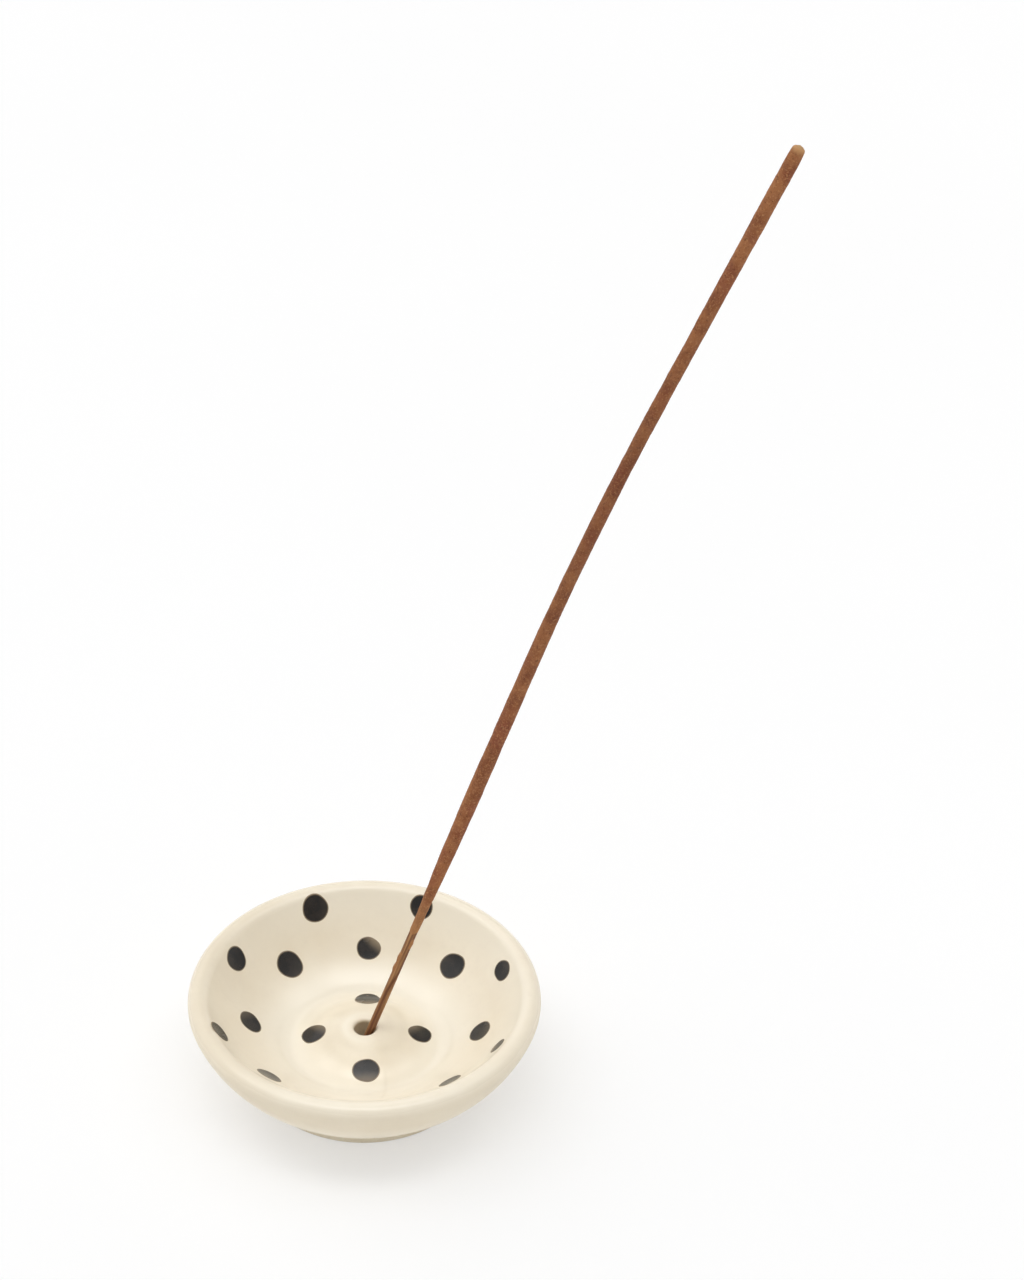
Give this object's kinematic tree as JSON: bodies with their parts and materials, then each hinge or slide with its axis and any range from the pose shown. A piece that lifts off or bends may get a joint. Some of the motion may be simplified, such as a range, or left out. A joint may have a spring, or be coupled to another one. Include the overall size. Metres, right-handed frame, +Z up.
{
  "type": "incense stick holder",
  "caption": "Round glazed pottery dish with painted dots inside and a low mound whose socket holds a leaning incense stick, so that its ash falls into the dish.",
  "frame": {"origin": "middle of the flat foot that the bowl stands on", "axes": "+Z up along the bowl's axis, +X the way the stick leans, +Y to the back as in the picture"},
  "size_m": [0.1174, 0.076, 0.2214],
  "materials": {
    "clay": "bare fired stoneware, matt",
    "glaze": "cream glaze, glossy",
    "paint": "black underglaze, glossy",
    "bamboo": "split bamboo, raw",
    "incense": "rolled wood-powder paste, dry and rough"
  },
  "bodies": {
    "bowl": {"clay_body": "clay", "glaze_coat": "glaze", "painted_dots": "paint"},
    "stick": {"bamboo_core": "bamboo", "incense_paste": "incense"}
  },
  "joints": [
    {"name": "stick_lift", "type": "slide", "parent": "bowl", "child": "stick", "axis": [0.3132, 0, 0.9497], "range_m": [0, 0.04]}
  ]
}
